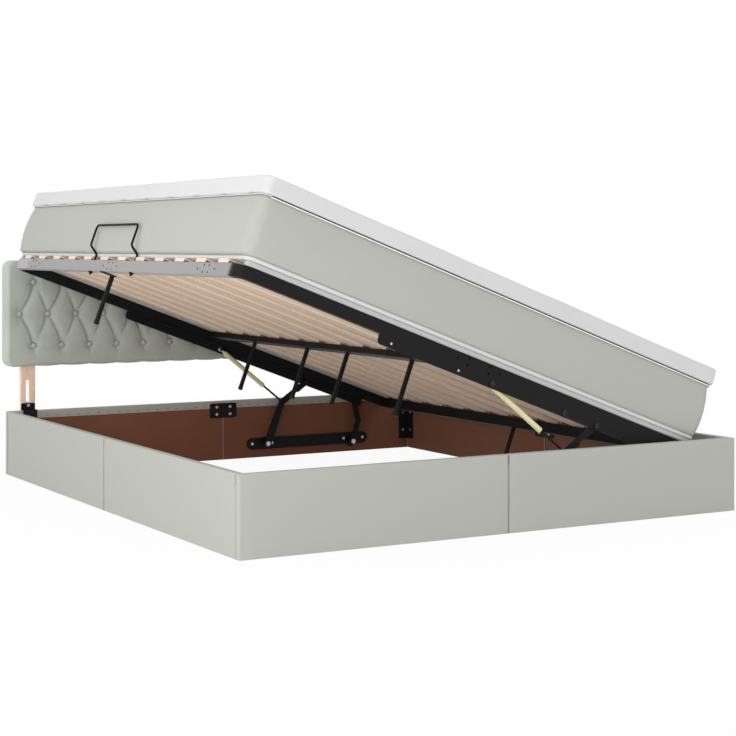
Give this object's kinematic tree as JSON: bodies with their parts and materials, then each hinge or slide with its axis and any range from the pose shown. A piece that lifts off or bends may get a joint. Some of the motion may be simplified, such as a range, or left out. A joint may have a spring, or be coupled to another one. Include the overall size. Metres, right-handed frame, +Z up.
{
  "type": "storage bed",
  "caption": "Upholstered storage bed whose slatted platform, with its mattress and topper, lifts sideways on hinged arms and gas struts, behind it a tufted headboard of adjustable height.",
  "frame": {"origin": "on the floor, midway along and across the overall outline in the stored open pose", "axes": "+X towards the side the platform is hinged on, +Y towards the headboard, +Z up"},
  "size_m": [1.8414, 2.0726, 1.0773],
  "materials": {
    "velvet": "short-pile velvet, light grey-green",
    "plywood": "reddish brown faced plywood",
    "black_steel": "black powder coat, satin",
    "zinc": "zinc-plated fasteners",
    "strut_paint": "pale yellow gloss paint",
    "beam_paint": "dark grey-brown coat",
    "beech": "clear-coated light wood",
    "black_plastic": "matt black plastic",
    "rubber_caps": "matt black rubber",
    "white_quilt": "white woven pad cover"
  },
  "bodies": {
    "base": {"foot_board_left": "plywood", "foot_board_right": "plywood", "foot_cover_left": "velvet", "foot_cover_right": "velvet", "hinge_board_left": "plywood", "hinge_board_right": "plywood", "hinge_cover_left": "velvet", "hinge_cover_right": "velvet", "head_board_left": "plywood", "head_board_right": "plywood", "head_cover_left": "velvet", "head_cover_right": "velvet", "opening_board_left": "plywood", "opening_board_right": "plywood", "opening_cover_left": "velvet", "opening_cover_right": "velvet", "corner_brackets": "black_steel", "seam_plates": "black_steel", "base_bolts": "zinc", "mount_plate_foot": "black_steel", "mount_plate_head": "black_steel", "ground_pivots": "zinc", "mount_screws": "zinc", "leg_bracket_left": "black_steel", "leg_bracket_right": "black_steel", "clamp_bolts": "zinc"},
    "lift_arms": {"lift_arm_foot": "black_steel", "lift_arm_head": "black_steel"},
    "rear_links": {"rear_link_foot": "black_steel", "rear_link_head": "black_steel"},
    "platform": {"arm_top_pivots": "zinc", "strut_top_studs": "zinc", "lift_bar_foot": "black_steel", "lift_bar_head": "black_steel", "lift_bar_bolts": "zinc", "frame_opening_bar": "black_steel", "frame_foot_bar": "black_steel", "frame_head_bar": "black_steel", "frame_hinge_bar": "black_steel", "centre_beam": "beam_paint", "slats_opening_row": "beech", "slats_hinge_row": "beech", "slat_holders": "black_plastic", "support_legs": "black_steel", "support_leg_caps": "rubber_caps", "mattress_retainer": "black_steel", "retainer_nuts": "black_steel", "mattress": "velvet", "mattress_topper": "white_quilt"},
    "strut_barrels": {"strut_barrel_foot": "strut_paint", "strut_barrel_head": "strut_paint"},
    "strut_rods": {"strut_rod_foot": "black_steel", "strut_rod_head": "black_steel"},
    "headboard": {"headboard_board": "plywood", "headboard_cushion": "velvet", "headboard_buttons": "velvet", "headboard_leg_left": "beech", "headboard_leg_right": "beech", "headboard_screws": "zinc"}
  },
  "joints": [
    {"name": "lift_arms_turn", "type": "hinge", "parent": "base", "child": "lift_arms", "pos_m": [0.19777, -0.0213, 0.058], "axis": [0, 1, 0], "range_deg": [0, 34.74], "stiffness_Nm_per_rad": 700, "springref_deg": -120.32},
    {"name": "platform_tilt", "type": "hinge", "parent": "lift_arms", "child": "platform", "pos_m": [0.37761, -0.0213, 0.30564], "axis": [0, -1, 0], "range_deg": [0, 55]},
    {"name": "rear_links_turn", "type": "hinge", "parent": "base", "child": "rear_links", "pos_m": [0.60529, -0.0213, 0.045], "axis": [0, 1, 0], "range_deg": [0, 47.15]},
    {"name": "strut_barrels_tilt", "type": "hinge", "parent": "platform", "child": "strut_barrels", "pos_m": [-0.02453, -0.0213, 0.45506], "axis": [0, -1, 0], "range_deg": [0, 18.04]},
    {"name": "strut_rods_slide", "type": "slide", "parent": "strut_barrels", "child": "strut_rods", "axis": [-0.7823, 0, 0.6229], "range_m": [0, 0.0782]},
    {"name": "headboard_height", "type": "slide", "parent": "base", "child": "headboard", "axis": [0, 0, -1], "range_m": [0, 0.09]}
  ],
  "couplings": [
    {"joint": "platform_tilt", "follows": "lift_arms_turn", "ratio": 1.5828},
    {"joint": "rear_links_turn", "follows": "lift_arms_turn", "ratio": 1.357},
    {"joint": "strut_barrels_tilt", "follows": "lift_arms_turn", "ratio": 0.51904},
    {"joint": "strut_rods_slide", "follows": "lift_arms_turn", "m_per_rad": 0.12891}
  ]
}
